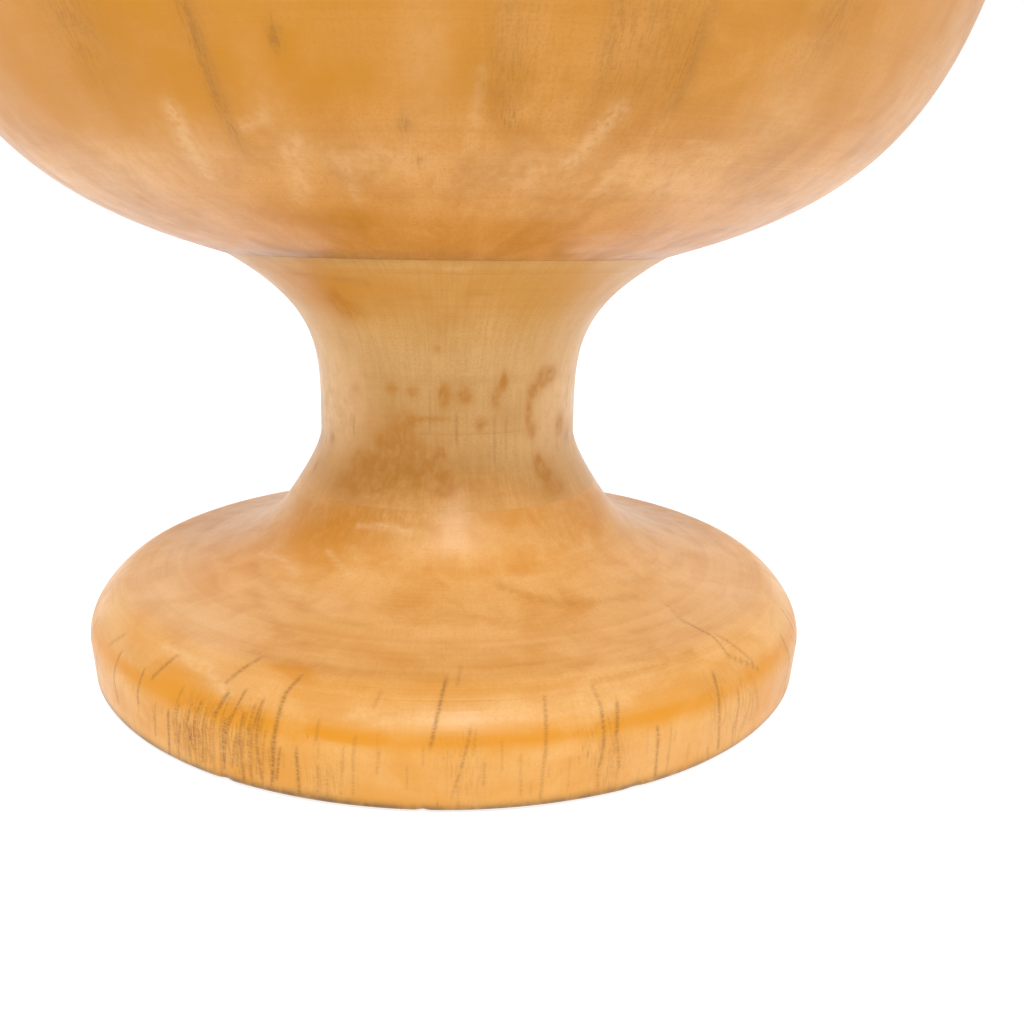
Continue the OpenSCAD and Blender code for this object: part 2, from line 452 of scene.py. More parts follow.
def wood(name, colours, radius, lean, drawn, pores, rings, fibres, tint=None):
    """Lacquered fine-grained wood. radius is the piece's usual radius, and lean says how
    its outline runs: -1 inwards as it rises, 1 outwards, 0 straight up. drawn below 1
    stretches the broad figure along the outline, and above 1 round the piece."""
    light, middle, dark, warmest_and_shade = colours
    n = Nodes(name)
    along = n.plus(n.z, n.times(n.radius, float(lean)))

    # Colour: broad figure, then fibres, then turning rings and a fine speckle
    figure = n.noise(n.around(radius, along, 0.8 * drawn), 0.085, 4.0, 0.6, 0.6)
    patchy = n.noise(n.around(radius, along, drawn), 0.14, 3.0, 0.5, 0.5)
    fibre = n.noise(n.around(radius, along, 0.06), 3.0, 3.0, 0.7)
    ring = n.noise(n.vector(n.radius, 7.0, n.z), 0.55, 4.0, 0.7)
    fine_ring = n.noise(n.vector(n.radius, 3.0, n.z), 4.5, 1.0, 0.5)
    speckle = n.noise(n.place, 4.5, 2.0, 0.7)
    colour = n.mix(n.step(figure, 0.34, 0.66), middle, light)
    if tint is not None:
        colour = n.mix(n.painted("tint"), colour, tint)
    colour = n.mix(n.step(patchy, 0.40, 0.74, 0.0, 0.66), colour, dark)
    colour = n.mix(n.step(fibre, 0.35, 0.7, 0.0, fibres), colour, dark)
    colour = n.mix(n.times(n.step(ring, 0.5, 0.72), rings), colour, dark)
    colour = n.mix(n.step(fine_ring, 0.4, 0.8, 0.0, 0.18), colour, light)
    colour = n.mix(n.step(speckle, 0.4, 0.75, 0.0, 0.4), colour, dark)

    # Painted places: warm orange and painted shade, pale wood and painted sheen, then stains and
    # painted shade, and scuffs and a painted highlight, broken up by noise
    blotch = n.noise(n.around(radius, along, 0.8), 0.9, 3.0, 0.6, 0.3)
    # Warm orange, and painted shade: a dark reflection band under the foot's shoulder, the foot's
    # cove, the stem's flare and the bowl's left side
    warm_and_shade = n.times(n.painted("warm_and_shade"), n.step(patchy, 0.3, 0.6, 0.65, 1.0))
    colour = n.mix(warm_and_shade, colour, warmest_and_shade)
    # Pale wood, and painted sheen at the stem's sides
    pale_and_sheen = n.times(n.painted("pale_and_sheen"), n.step(blotch, 0.3, 0.7, 0.55, 1.0))
    colour = n.mix(pale_and_sheen, colour, PALE_AND_SHEEN)
    # Stains, and painted shade on the foot's top and cove and on the stem
    stain_and_shade = n.times(n.painted("stain_and_shade"), n.step(blotch, 0.3, 0.65, 0.5, 1.0))
    colour = n.mix(n.math("MULTIPLY", stain_and_shade, 0.9, True), colour, STAIN_AND_SHADE)
    broken = n.step(n.noise(n.place, 1.8, 2.0), 0.3, 0.6, 0.3, 1.0)
    # Pale scuffs, and a painted highlight along the front of the foot's shoulder
    scuff_and_highlight = n.times(n.painted("scuff_and_highlight"), broken)
    colour = n.mix(n.math("MULTIPLY", scuff_and_highlight, 0.6, True), colour, SCUFF_AND_HIGHLIGHT)

    # Dark pores: short upright dashes, thick where the streaks are painted
    dash = n.noise(n.around(radius, along, 0.14), 4.2, 2.0, 0.6)
    dots = n.noise(n.around(0.5 * radius, along, 2.0), 3.6, 1.0, 0.5)
    spread = n.noise(n.around(radius, along, 0.2), 0.22, 2.0, 0.5)
    everywhere = n.times(n.step(dash, 0.62, 0.74), n.step(spread, 0.5, 0.68, 0.0, pores))
    dashed = n.times(n.painted("streak"), n.step(dash, 0.42, 0.62, 0.08, 1.0))
    lines = n.times(n.painted("line"), n.step(dots, 0.36, 0.58, 0.75, 1.0))
    everywhere = n.times(everywhere, n.painted("upright"))
    dark_share = n.math("MAXIMUM", n.math("MAXIMUM", everywhere, dashed), lines)
    pore = n.times(dark_share, n.step(dots, 0.34, 0.56, 0.55, 1.0))
    colour = n.mix(n.math("MULTIPLY", pore, 0.78, True), colour, PORE)
    # Grime and painted shade: the contact shadow under the foot's edge and the shade in the crease at
    # the neck
    grime_and_shade = n.times(n.painted("grime_and_shade"), n.step(blotch, 0.3, 0.6, 0.6, 1.0))
    colour = n.mix(n.math("MULTIPLY", grime_and_shade, 0.9, True), colour, GRIME_AND_SHADE)
    n.feed(n.shader.inputs["Base Color"], colour)

    # Lacquer: satin, duller where it is worn, along the painted highlight on the shoulder, or porous
    cloud = n.noise(n.place, 0.35, 3.0, 0.6)
    rough = n.step(cloud, 0.3, 0.7, 0.30, 0.40)
    rough = n.plus(rough, n.times(dark_share, 0.15))
    rough = n.plus(rough, n.times(scuff_and_highlight, 0.12))
    n.feed(n.shader.inputs["Roughness"], rough)
    n.shader.inputs["Specular IOR Level"].default_value = 0.25
    n.shader.inputs["Coat Weight"].default_value = 0.08
    n.shader.inputs["Coat Roughness"].default_value = 0.25
    n.shader.inputs["IOR"].default_value = 1.48

    # Relief: tool marks round the piece, fibres, sunken pores
    relief = n.bump(ring, 0.05)
    relief = n.bump(fine_ring, 0.012, relief)
    relief = n.bump(fibre, 0.010, relief)
    relief = n.bump(n.math("SUBTRACT", 1.0, pore), 0.006, relief)
    n.feed(n.shader.inputs["Normal"], relief)
    return n.material


def metal(name, light, dark, rough_low, rough_high, spin):
    """Turned or spun metal, with fine rings and clouds of tarnish."""
    n = Nodes(name)
    ring = n.noise(n.vector(n.radius, 5.0, n.z), spin, 3.0, 0.7)
    cloud = n.noise(n.place, 0.12, 4.0, 0.65, 0.8)
    speck = n.noise(n.place, 1.4, 3.0, 0.7)
    colour = n.mix(n.step(cloud, 0.42, 0.75, 0.0, 0.7), light, dark)
    colour = n.mix(n.step(speck, 0.62, 0.8, 0.0, 0.5), colour, dark)
    n.feed(n.shader.inputs["Base Color"], colour)
    n.shader.inputs["Metallic"].default_value = 1.0
    rough = n.step(cloud, 0.3, 0.75, rough_low, rough_high)
    rough = n.plus(rough, n.step(ring, 0.3, 0.8, 0.0, 0.06))
    n.feed(n.shader.inputs["Roughness"], rough)
    relief = n.bump(ring, 0.012)
    relief = n.bump(speck, 0.004, relief)
    n.feed(n.shader.inputs["Normal"], relief)
    return n.material


def leather(name):
    """Dark vegetable-tanned leather with a pebbled grain and a rubbed rim."""
    n = Nodes(name)
    cells = n.add("ShaderNodeTexVoronoi", feature="DISTANCE_TO_EDGE")
    n.feed(cells.inputs["Vector"], n.place)
    cells.inputs["Scale"].default_value = 1.1
    pebble = n.step(cells.outputs["Distance"], 0.0, 0.22)
    cloud = n.noise(n.place, 0.09, 4.0, 0.6, 0.7)
    fuzz = n.noise(n.place, 3.0, 3.0, 0.6)
    rubbed = n.step(n.radius, PAD_R - 4.0, PAD_R + 0.5)
    colour = n.mix(n.step(cloud, 0.35, 0.7), (0.055, 0.027, 0.014, 1), (0.085, 0.042, 0.021, 1))
    colour = n.mix(n.step(pebble, 0.0, 1.0, 0.6, 0.0), colour, (0.022, 0.011, 0.006, 1))
    colour = n.mix(n.times(rubbed, n.step(fuzz, 0.4, 0.7, 0.2, 0.7)), colour,
                   (0.17, 0.095, 0.05, 1))
    n.feed(n.shader.inputs["Base Color"], colour)
    n.feed(n.shader.inputs["Roughness"], n.step(fuzz, 0.3, 0.7, 0.55, 0.72))
    relief = n.bump(pebble, 0.12)
    relief = n.bump(fuzz, 0.03, relief)
    n.feed(n.shader.inputs["Normal"], relief)
    return n.material


def dress(piece, material, node):
    """Gives a piece its material and puts it in place of its CAD node."""
    piece.data.materials.append(material)
    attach(piece, "root")
    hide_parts(node)


# ---------------------------------------------------------------- wooden pieces
foot = turned("foot_turned", join(
    foot_skin,
    finer(np.array([[JOINT[0] - JOINT_LIP, JOINT[1]], [LOW_TENON_R + GLUE_GAP, JOINT[1]]]), 4.0),
    [LOW_TENON_R + GLUE_GAP, JOINT[1] - LOW_TENON_H - GLUE_GAP],
    [ROD_HOLE_R, JOINT[1] - LOW_TENON_H - GLUE_GAP],
    [ROD_HOLE_R, RECESS_Z],
    [RECESS_R, RECESS_Z],
    [RECESS_R, PAD_T + EDGE_BREAK],
    finer(np.array([[RECESS_R + EDGE_BREAK, PAD_T], [PAD_R + PAD_GAP, PAD_T]]), 6.0),
    [PAD_R + PAD_GAP, PAD_PROUD + 0.1],
    [PAD_R + PAD_GAP + 0.1, PAD_PROUD]), FOOT_SEGMENTS, WOBBLE, front=3.0)
stem = turned("stem_turned", join(
    stem_skin,
    [TOP_TENON_R, NECK_Z],
    [TOP_TENON_R, NECK_Z + TOP_TENON_H - TENON_BREAK],
    [TOP_TENON_R - TENON_BREAK, NECK_Z + TOP_TENON_H],
    [ROD_HOLE_R, NECK_Z + TOP_TENON_H],
    [ROD_HOLE_R, JOINT[1] - LOW_TENON_H],
    [LOW_TENON_R - TENON_BREAK, JOINT[1] - LOW_TENON_H],
    [LOW_TENON_R, JOINT[1] - LOW_TENON_H + TENON_BREAK],
    [LOW_TENON_R, JOINT[1]],
    [JOINT[0] - JOINT_LIP, JOINT[1]]), STEM_SEGMENTS, front=2.0)
bowl = turned("bowl_turned", join(
    bowl_skin,
    cup_side(LINER_T + LINER_GAP, RIM_Z, 24),
    [BOSS_R + GLUE_GAP, BOSS_TOP_Z],
    [BOSS_R + GLUE_GAP, BOSS_Z],
    [ROD_HOLE_R, BOSS_Z],
    [ROD_HOLE_R, SOCKET_TOP_Z],
    [TOP_TENON_R + GLUE_GAP, SOCKET_TOP_Z],
    [TOP_TENON_R + GLUE_GAP, NECK_Z]), BOWL_SEGMENTS, WOBBLE, front=2.5)

# Marks on the foot: azimuth and way along the outline of both ends, width, strength.
# These lines were picked by eye in the photo, and a scratch program worked out their places on
# the outline through the fitted camera. The same holds for some of the other marks on all
# three pieces.
# Widths and strengths were chosen one by one.
foot_lines = [
    (-55.0, 9.4, -57.3, 7.6, 0.25, 0.5), (-52.8, 7.8, -52.2, 2.7, 0.22, 0.8),
    (-45.3, 7.8, -45.0, 4.6, 0.22, 0.8), (-40.8, 10.3, -43.0, 7.5, 0.26, 0.8),
    (-40.8, 5.5, -41.7, 1.9, 0.20, 0.6), (-38.0, 5.4, -39.0, 0.4, 0.24, 0.9),
    (-36.3, 6.3, -36.9, 0.9, 0.20, 0.8), (-30.6, 7.5, -32.7, 1.1, 0.20, 0.5),
    (-27.3, 12.9, -30.0, 9.8, 0.26, 0.8), (-29.1, 8.7, -30.0, 6.6, 0.35, 0.9),
    (-26.7, 9.4, -28.2, 3.8, 0.24, 0.8), (-28.2, 6.6, -28.8, 1.5, 0.24, 0.9),
    (-25.8, 7.3, -25.8, 0.8, 0.24, 0.9), (-24.6, 8.2, -24.6, 1.3, 0.22, 0.7),
    (-23.7, 8.7, -23.1, 1.6, 0.24, 0.8), (-19.8, 11.7, -21.0, 9.9, 0.26, 0.8),
    (-21.0, 9.9, -21.0, 5.4, 0.28, 0.9), (-21.0, 5.4, -21.6, 1.5, 0.28, 1.0),
    (-18.0, 5.2, -18.0, 0.8, 0.24, 0.9), (-15.6, 7.9, -15.6, 6.0, 0.20, 0.5),
    (-15.3, 4.0, -15.6, 1.1, 0.20, 0.6), (-14.1, 3.8, -14.4, 0.8, 0.20, 0.5),
    (-12.3, 4.8, -12.6, 1.3, 0.18, 0.4), (-10.8, 6.8, -11.1, 1.5, 0.20, 0.45),
    (-8.4, 11.1, -9.0, 9.8, 0.25, 0.35), (-7.8, 5.8, -8.1, 3.9, 0.18, 0.4),
    (0.0, 12.8, -1.8, 6.5, 0.24, 0.8), (2.1, 15.1, 1.5, 12.0, 0.22, 0.35),
    (3.0, 8.1, 0.9, 2.1, 0.22, 0.6), (4.5, 5.2, 4.5, 2.9, 0.20, 0.5),
    (1.5, 2.9, 1.5, 0.4, 0.18, 0.4), (3.6, 8.1, 3.3, 6.0, 0.20, 0.4),
    (12.6, 10.3, 11.7, 5.2, 0.22, 0.6), (11.7, 5.2, 11.4, 0.9, 0.20, 0.5),
    (8.7, 5.4, 9.0, 1.6, 0.18, 0.35), (19.5, 10.8, 19.8, 8.8, 0.25, 0.5),
    (19.8, 8.8, 18.9, 3.6, 0.26, 0.8), (18.6, 3.3, 18.9, 1.1, 0.20, 0.6),
    (22.2, 9.0, 21.0, 6.1, 0.28, 0.8), (21.0, 6.1, 21.6, 2.9, 0.24, 0.7),
    (20.4, 7.9, 20.4, 0.8, 0.18, 0.35), (27.0, 6.0, 27.3, 0.9, 0.22, 0.8),
    (29.1, 5.7, 29.1, 1.3, 0.18, 0.4), (39.0, 9.0, 37.8, 5.5, 0.30, 0.8),
    (37.8, 5.5, 38.7, 1.3, 0.26, 0.8), (36.3, 1.9, 36.9, 0.3, 0.20, 0.6),
    (42.3, 6.6, 42.0, 2.7, 0.24, 0.7), (44.4, 16.3, 43.8, 9.8, 0.22, 0.7),
    (43.8, 9.8, 48.6, 7.3, 0.25, 0.7), (45.0, 12.2, 48.3, 8.1, 0.22, 0.6),
    (47.4, 19.1, 43.8, 15.6, 0.25, 0.35), (46.8, 5.5, 48.0, 3.0, 0.22, 0.5),
    (41.4, 3.4, 42.0, 0.9, 0.20, 0.5),
]
foot_streaks = [
    (-34.0, 4.0, 0.9, 3.6, 1.0), (-31.5, 4.5, 1.0, 4.0, 0.7), (-27.0, 5.0, 1.6, 4.5, 0.55),
    (-24.0, 5.5, 1.2, 4.0, 0.5), (-37.0, 3.0, 1.0, 3.0, 0.5), (-15.0, 2.5, 2.5, 2.0, 0.3),
    (20.0, 5.0, 2.0, 5.0, 0.35), (38.5, 6.0, 2.0, 4.0, 0.35), (2.0, 4.0, 2.0, 4.0, 0.25),
    (45.0, 5.0, 2.0, 5.0, 0.35),
]
random = np.random.default_rng(SEED)
for azimuth in np.arange(-37, -20.5, 0.9):
    start = azimuth + random.uniform(-0.3, 0.3)
    low = random.uniform(0.5, 2.5)
    foot_lines.append((start + 0.4, random.uniform(4.5, 9), start - 0.4, low, 0.18,
                       random.uniform(0.5, 0.95)))
for azimuth in np.arange(-62, 58, 2.6):
    start = azimuth + random.uniform(-1.2, 1.2)
    low = random.uniform(0.5, 5)
    foot_lines.append((start, low, start, low + random.uniform(0.6, 3), 0.15,
                       random.uniform(0.15, 0.4)))
for azimuth in np.arange(62, 300, 3.4):
    start = azimuth + random.uniform(-2, 2)
    low = random.uniform(0.6, 4.0)
    high = low + random.uniform(1.5, 7.5)
    foot_lines.append((start, low, start + random.uniform(-1, 1), high,
                       random.uniform(0.25, 0.4), random.uniform(0.25, 0.9)))
for azimuth in np.arange(70, 290, 24):
    foot_streaks.append((azimuth + random.uniform(-9, 9), random.uniform(3, 7),
                         random.uniform(1.5, 5), random.uniform(3, 6), random.uniform(0.2, 0.8)))

skin = Skin(foot, foot_skin)
thinning = 0.75
fading = 0.9
thin_lines = [(*ends, thinning * width, fading * strength)
              for *ends, width, strength in foot_lines]
paint(foot, "line", skin.strokes(thin_lines))
paint(foot, "streak", skin.patches(foot_streaks) * np.clip((10.5 - skin.way) / 4, 0, 1))
paint(foot, "upright", np.clip((9 - skin.way) / 3, 0, 1) * skin.outside)
# Warmer tone on the lower side; the saturated band under the shoulder is a painted dark reflection,
# and the patches round the cove are painted shade
band = np.exp(-((skin.way - 6.9) / 1.0) ** 2)
lower_side = np.clip((6.5 - skin.way) / 2, 0, 1)
paint(foot, "warm_and_shade", (0.95 * band + 0.65 * lower_side) * skin.outside + skin.patches([
    (32, 9.0, 9, 1.6, 0.3), (48, 9.0, 9, 2.0, 0.35), (-21, 12.6, 3.5, 1.2, 0.5),
    (-48, 31, 6, 4, 0.9), (-36, 34, 4, 3, 0.5), (-70, 24, 8, 5, 0.4), (-3, 11.5, 8, 1.6, 0.25),
    (-38, 8.6, 5, 1.5, 0.7), (-52, 10, 5, 2, 0.7), (12, 8.4, 6, 1.0, 0.3), (-26, 8, 9, 2.5, 0.35),
    (38, 8, 12, 1.5, 0.15), (-15, 10.5, 9, 1.2, 0.3), (-60, 24, 6, 4, 0.3), (20, 30, 8, 3, 0.25),
    (55, 33, 6, 3, 0.6), (30, 35, 5, 2, 0.4),
    (130, 12, 14, 4, 0.5), (200, 28, 9, 5, 0.6), (250, 14, 10, 4, 0.5)]))
# Stains and turning smudges; the strokes across the left of the top and the patches round the cove
# are painted shade
paint(foot, "stain_and_shade", skin.strokes([
    (-7, 15.3, 11, 15.0, 0.4, 0.35), (11, 15.0, 33, 11.9, 0.4, 0.35),
    (13, 27.1, 18, 25.5, 0.6, 0.5), (18, 25.5, 28, 23.1, 0.8, 0.5),
    (28, 23.1, 43, 21.8, 0.7, 0.4), (-25, 21.1, -7, 20.1, 0.5, 0.3),
    (-41, 23.4, -25, 21.1, 0.5, 0.35), (-57, 24.8, -41, 23.4, 0.6, 0.35),
    (-46, 22.3, -23, 16.2, 0.6, 0.3), (20, 11.2, 38, 11.7, 0.4, 0.35),
    (-30, 13.6, 0, 13.4, 0.35, 0.25), (33, 16.5, 55, 17.2, 0.4, 0.3),
    (45, 24, 70, 22, 0.6, 0.3), (-5, 18.2, 24, 17.2, 0.4, 0.22)])
    + skin.patches([
        (-18, 12.6, 4.5, 1.2, 0.3), (-4, 11.5, 9, 2.0, 0.12), (27, 10.4, 5, 1.0, 0.25),
        (-42, 33, 8, 4, 0.6), (-20, 34.6, 7, 2.4, 0.3), (46, 33, 7, 4, 0.4), (0, 36, 8, 1.5, 0.2),
        (-8, 24, 9, 2.5, 0.12), (25, 21, 8, 2, 0.15), (-28, 18, 6, 2, 0.12), (5, 17, 9, 1.5, 0.12),
        (-32, 9.5, 3, 1.2, 0.3), (-50, 8.5, 4, 1.2, 0.3), (40, 8.5, 6, 1.2, 0.25),
        (110, 14, 12, 5, 0.3), (170, 30, 10, 6, 0.4), (240, 18, 12, 5, 0.3)]))
paint(foot, "pale_and_sheen", skin.patches([
    (-45, 15.3, 5, 2.5, 0.4), (-26, 23.0, 5, 2.5, 0.35), (26, 3, 8, 2.5, 0.3),
    (0, 3, 9, 2, 0.15), (-63, 15, 6, 4, 0.3),
    (-36, 12.4, 4, 1.3, 0.3), (4, 33, 4, 3, 0.3), (10, 19, 12, 3, 0.12),
    (62, 15, 7, 4, 0.35), (-30, 9.8, 3, 1.0, 0.3), (150, 20, 9, 5, 0.3),
    (215, 13, 8, 3, 0.3)]))
# Pale scratches, and a painted highlight: the long stroke along the front of the shoulder
paint(foot, "scuff_and_highlight", skin.strokes([
    (-59.7, 26.7, -50, 27.3, 0.4, 0.6), (-50, 27.3, -40, 26.2, 0.35, 0.5),
    (-37, 30.1, -24.6, 27.4, 0.35, 0.45), (-30, 33.4, -20, 33.9, 0.3, 0.6),
    (-20, 33.9, -11.7, 33.3, 0.3, 0.6), (-44, 10.9, -34, 10.2, 0.6, 0.5),
    (-34, 10.2, -29, 8.6, 0.5, 0.5), (-12, 8.6, 24, 8.7, 0.35, 0.3)]))
# Painted contact shadow along the bottom edge, heavier towards the front-left, and a faint dark line
# at the joint with the stem
ripple = 0.3 * np.sin(np.radians(skin.azimuth) * 9 + 1)
edge = np.exp(-((skin.way - 0.3 + 0.3 * ripple) / 0.55) ** 2)
joint = np.exp(-((skin.way - skin.length) / 0.3) ** 2)
front_left = 0.85 + 0.45 * np.cos(np.radians(skin.azimuth + 45))
paint(foot, "grime_and_shade", (front_left * edge + 0.08 * joint) * skin.outside)

# Small dents in the bottom edge, as geometry
dented = points_of(foot)
dent = skin.strokes([
    (-29.0, 0.1, -28.7, 0.5, 0.45, 0.2), (-2.8, 0.1, -2.7, 0.4, 0.4, 0.2),
    (24.0, 0.0, 24.6, 0.3, 0.6, 0.12), (96.0, 0.1, 97.5, 0.4, 0.8, 0.3),
    (151.0, 0.0, 151.6, 0.6, 0.6, 0.25), (-128.0, 0.1, -127.0, 0.5, 0.8, 0.3)])
shrink = 1 - dent / np.maximum(skin.radius, 1)
dented[:, :2] *= shrink[:, None]
move_points(foot, dented)

# Marks on the stem: brown flecks, hairlines, a ring of painted shade under the bowl
skin = Skin(stem, stem_skin)
stem_flecks = [
    (-22.8, 13.0, 0.6, 0.45, 0.7), (-14.4, 12.9, 0.45, 0.5, 0.6), (-1.5, 12.5, 0.5, 0.9, 0.9),
    (6.7, 12.6, 0.55, 0.8, 0.8), (22.8, 13.9, 0.35, 0.8, 0.8), (19.5, 12.3, 0.4, 0.8, 0.7),
    (13.6, 9.4, 0.5, 0.5, 0.6), (43.0, 14.0, 0.7, 0.8, 1.0), (48.5, 14.2, 0.6, 0.7, 0.6),
    (37.5, 12.6, 0.6, 0.6, 0.7), (35.5, 10.3, 0.4, 1.1, 0.6), (37.8, 8.3, 0.5, 0.8, 0.55),
    (-18.0, 9.6, 0.9, 0.9, 0.65), (-10.0, 10.0, 2.0, 0.3, 0.4), (-24.5, 7.4, 1.2, 0.8, 0.6),
    (-36.3, 4.9, 0.9, 0.8, 1.0), (-27.5, 4.6, 1.0, 0.6, 0.5), (-2.8, 5.2, 0.5, 1.5, 0.5),
    (-0.9, 2.5, 0.6, 0.6, 0.45), (40.8, 4.6, 0.6, 0.8, 0.7), (42.5, 3.2, 0.8, 0.6, 0.5),
    (44.5, 1.5, 1.0, 0.6, 0.7), (-41.0, 12.6, 0.5, 0.5, 0.25), (-37.0, 23.5, 1.4, 1.8, 0.45),
    (-33.0, 21.8, 1.6, 1.0, 0.35), (-4.0, 17.5, 0.4, 0.3, 0.4), (-36.0, 2.0, 3.0, 1.2, 0.4),
    (-14.0, 5.0, 2.5, 1.5, 0.3), (-20.0, 7.0, 2.0, 2.0, 0.25),
]
for azimuth in np.arange(60, 305, 9):
    stem_flecks.append((azimuth + random.uniform(-5, 5), random.uniform(2.5, 14.5),
                        random.uniform(0.4, 1.1), random.uniform(0.5, 1.2),
                        random.uniform(0.4, 0.9)))
stem_hairs = [
    (3.6, 10.4, 3.9, 7.3, 0.14, 0.45), (19.5, 10.3, 19.5, 5.2, 0.14, 0.3),
    (24.5, 9.5, 24.5, 5.5, 0.14, 0.25), (-42.7, 9.4, -42.9, 7.5, 0.16, 0.4),
    (-7.0, 13.0, -7.2, 8.5, 0.12, 0.22), (31.0, 12.5, 31.0, 8.0, 0.12, 0.22),
]
for azimuth in np.arange(55, 305, 11):
    start = azimuth + random.uniform(-4, 4)
    low = random.uniform(4, 10)
    stem_hairs.append((start, low, start, low + random.uniform(1.5, 4), 0.16,
                       random.uniform(0.2, 0.5)))
paint(stem, "line", skin.strokes(stem_hairs))
paint(stem, "streak", np.zeros(len(skin.way)))
paint(stem, "upright", 0.15 * skin.outside)
soft_flecks = [(azimuth, way, 1.9 * wide, 1.6 * tall, 0.75 * strength)
               for azimuth, way, wide, tall, strength in stem_flecks]
# Brown flecks, and broad painted shade on the stem's lower part, its middle and the left of its flare
paint(stem, "stain_and_shade", 1.35 * skin.patches(stem_flecks) + skin.patches(soft_flecks) + skin.patches([
    (-32, 2.5, 9, 3.0, 0.5), (0, 3.0, 7, 2.0, 0.4), (36, 2.5, 7, 2.6, 0.35),
    (-42, 26, 6, 3.5, 0.3), (-16, 7.5, 5, 3.0, 0.28), (8, 8.5, 5, 3.5, 0.15)]))
turn = np.radians(skin.azimuth)
hem = 4.2 + 0.7 * np.sin(turn * 3 + 1) + 0.4 * np.sin(turn * 8)
paint(stem, "tint", np.clip((hem - skin.way) / 3.2, 0, 1) * skin.outside)
# Painted shade: a warmer, darker band on the flare, which faces down under the bowl, and patches on
# the left
paint(stem, "warm_and_shade", 0.6 * np.exp(-((skin.way - 25.5) / 4.0) ** 2) * skin.outside
      + skin.patches([(-42, 25, 6, 4, 0.7), (-30, 7, 4, 3, 0.25), (-45, 3, 5, 3, 0.5)]))
# Painted sheen, paler away from the front towards both sides of the stem
side_light = np.clip((np.abs(skin.azimuth) - 26) / 24, 0, 1)
paint(stem, "pale_and_sheen", (0.06 + 0.7 * side_light) * np.exp(-((skin.way - 11) / 7.5) ** 2)
      * skin.outside)
paint(stem, "scuff_and_highlight", skin.strokes([
    (-31.0, 1.0, -22.0, 1.8, 0.3, 0.3), (-4, 28.6, 4, 28.9, 0.2, 0.4)]))
top = skin.length
# Painted shade in the crease under the bowl, heavier on the left, and a few grey streaks below it
paint(stem, "grime_and_shade", skin.strokes([
    (-52, top - 0.2, -38, top - 0.3, 0.7, 0.2), (-38, top - 0.3, -12, top - 0.1, 0.7, 0.3),
    (-12, top - 0.1, 14, top - 0.1, 0.5, 0.2), (14, top - 0.1, 60, top - 0.2, 0.4, 0.1),
    (-46, top - 2.8, -22, top - 4.2, 0.5, 0.22), (-20, top - 6.8, 12, top - 5.6, 0.2, 0.12),
    (60, top - 0.4, 180, top - 0.2, 0.4, 0.2), (180, top - 0.2, 308, top - 0.4, 0.4, 0.2)]))

# Marks on the bowl
skin = Skin(bowl, bowl_skin)
bowl_streaks = [(azimuth + random.uniform(-5, 5), random.uniform(40, 70),
                 random.uniform(0.6, 2.5), random.uniform(8, 22), random.uniform(0.15, 0.4))
                for azimuth in np.arange(50, 310, 9)]
bowl_streaks += [
    (5.0, 28.0, 2.2, 5.0, 0.25), (16.0, 29.0, 2.6, 6.0, 0.25), (12.8, 31.0, 0.9, 6.0, 0.28),
    (19.6, 27.5, 0.7, 5.0, 0.35), (-13.5, 29.0, 0.5, 1.0, 0.6), (-3.9, 22.4, 0.5, 1.0, 0.5),
    (-3.0, 19.1, 0.4, 0.6, 0.5), (5.4, 23.0, 0.6, 0.9, 0.5), (33.0, 33.0, 2.0, 5.0, 0.3),
    (-32.0, 31.0, 2.5, 5.0, 0.3), (-8.0, 44.0, 2.0, 9.0, 0.3), (14.0, 45.0, 1.5, 9.0, 0.3),
    (-20.3, 30.0, 0.6, 6.0, 0.5), (-20.8, 22.5, 0.5, 2.5, 0.4)]
paint(bowl, "line", skin.strokes([
    (-20.1, 46, -20.1, 27.8, 0.35, 0.18), (-20.1, 27.8, -20.7, 23.4, 0.3, 0.2),
    (9.5, 27, 9.8, 22.5, 0.3, 0.15), (20.2, 40, 20.0, 25, 0.3, 0.2)]))
paint(bowl, "streak", skin.patches(bowl_streaks))
paint(bowl, "upright", np.clip((skin.way - 18) / 30, 0, 0.4) * skin.outside)
paint(bowl, "stain_and_shade", skin.patches([
    (-14, 10.0, 2.8, 2.6, 1.1), (-18, 5, 5, 2.2, 0.3), (-21, 15, 3, 4, 0.2),
    (0, 26, 4, 5, 0.12), (25, 30, 5, 6, 0.12), (-35, 26, 4, 6, 0.15), (-8, 15, 3, 2, 0.15),
    (14, 8, 9, 2, 0.15), (120, 14, 8, 5, 0.4), (200, 11, 6, 4, 0.5), (-110, 40, 10, 9, 0.3)]))
# Warmer tone from the belly up, deeper on the left, where it is painted shade, and a warm band low on
# the underside
upper = np.clip((skin.way - 19) / 7, 0, 1)
left = np.clip((60 - np.abs(skin.azimuth + 46)) / 20, 0, 1)
paint(bowl, "warm_and_shade", ((0.58 + 0.35 * left) * upper + 0.25 * np.exp(-((skin.way - 4.5) / 2.5) ** 2))
      * skin.outside + skin.patches([
          (-14, 11, 5, 4, 0.4), (3, 10, 5, 2.5, 0.2), (20, 10, 6, 3, 0.2), (-32, 26, 9, 7, 0.8)]))
paint(bowl, "pale_and_sheen", skin.patches([
    (-8, 19, 5, 2.5, 0.25), (7, 18, 4, 3, 0.25), (-26, 21, 4, 3, 0.25), (22, 17, 6, 2.5, 0.3),
    (-2, 27, 2, 5, 0.2), (-16, 25, 1.5, 6, 0.15), (33, 24, 4, 4, 0.3), (-38, 19, 5, 4, 0.25),
    (12, 12, 5, 1.5, 0.2)]) + (0.2 * np.exp(-((skin.way - 15.5) / 4.5) ** 2)
      + 0.04 * np.exp(-((skin.way - 19.6) / 0.6) ** 2)) * skin.outside)
